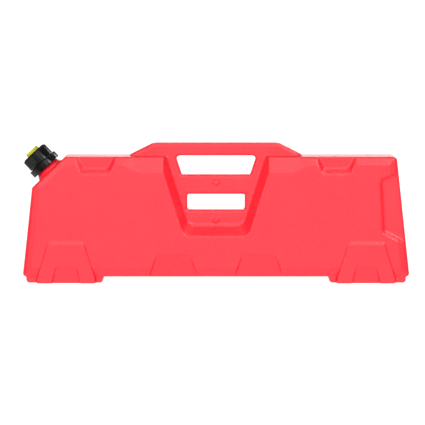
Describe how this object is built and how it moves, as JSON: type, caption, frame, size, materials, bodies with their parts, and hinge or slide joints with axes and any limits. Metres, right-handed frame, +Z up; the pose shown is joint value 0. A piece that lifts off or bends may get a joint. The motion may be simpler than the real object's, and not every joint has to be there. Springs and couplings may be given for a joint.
{
  "type": "gas can",
  "caption": "Long flat moulded fuel can with a carrying handle over a hand slot, and a vented screw closure with a stored spout on its cut corner.",
  "frame": {"origin": "on the ground under the middle of the can", "axes": "+X along the can away from the neck, +Y from the front to the back, +Z up"},
  "size_m": [1.006, 0.117, 0.363],
  "materials": {
    "red_polyethylene": "fine moulded grain",
    "black_nylon": "satin moulded",
    "black_rubber": "matt",
    "yellow_acetal": "satin moulded",
    "brass": "turned",
    "spring_steel": "drawn wire"
  },
  "bodies": {
    "can": {"tank": "red_polyethylene", "neck_corner": "red_polyethylene", "carry_web": "red_polyethylene", "strap_web": "red_polyethylene", "left_foot": "red_polyethylene", "right_foot": "red_polyethylene", "neck_gasket": "black_rubber"},
    "spout": {"pour_spout": "black_nylon"},
    "ring": {"screw_ring": "black_nylon"},
    "gasket": {"cap_gasket": "black_rubber"},
    "cap": {"grip_cap": "black_nylon", "vent_spring": "spring_steel"},
    "vent": {"vent_button": "yellow_acetal", "vent_stem": "brass", "vent_seal": "black_rubber"}
  },
  "joints": [
    {"name": "closure_rise", "type": "slide", "parent": "can", "child": "spout", "axis": [-0.682, 0, 0.7314], "range_m": [0, 0.01]},
    {"name": "ring_turn", "type": "hinge", "parent": "spout", "child": "ring", "pos_m": [-0.43242, 0, 0.28952], "axis": [-0.682, 0, 0.7314], "range_deg": [0, 720]},
    {"name": "cap_rise", "type": "slide", "parent": "spout", "child": "gasket", "axis": [-0.682, 0, 0.7314], "range_m": [0, 0.018]},
    {"name": "cap_turn", "type": "hinge", "parent": "gasket", "child": "cap", "pos_m": [-0.43242, 0, 0.28952], "axis": [-0.682, 0, 0.7314], "range_deg": [0, 1080]},
    {"name": "vent_press", "type": "slide", "parent": "cap", "child": "vent", "axis": [0.682, 0, -0.7314], "range_m": [0, 0.004], "stiffness_N_per_m": 600, "springref_m": -0.004, "deforming": ["vent_spring"]}
  ],
  "couplings": [
    {"joint": "closure_rise", "follows": "ring_turn", "m_per_rad": 0.000795},
    {"joint": "cap_rise", "follows": "cap_turn", "m_per_rad": 0.000954}
  ]
}
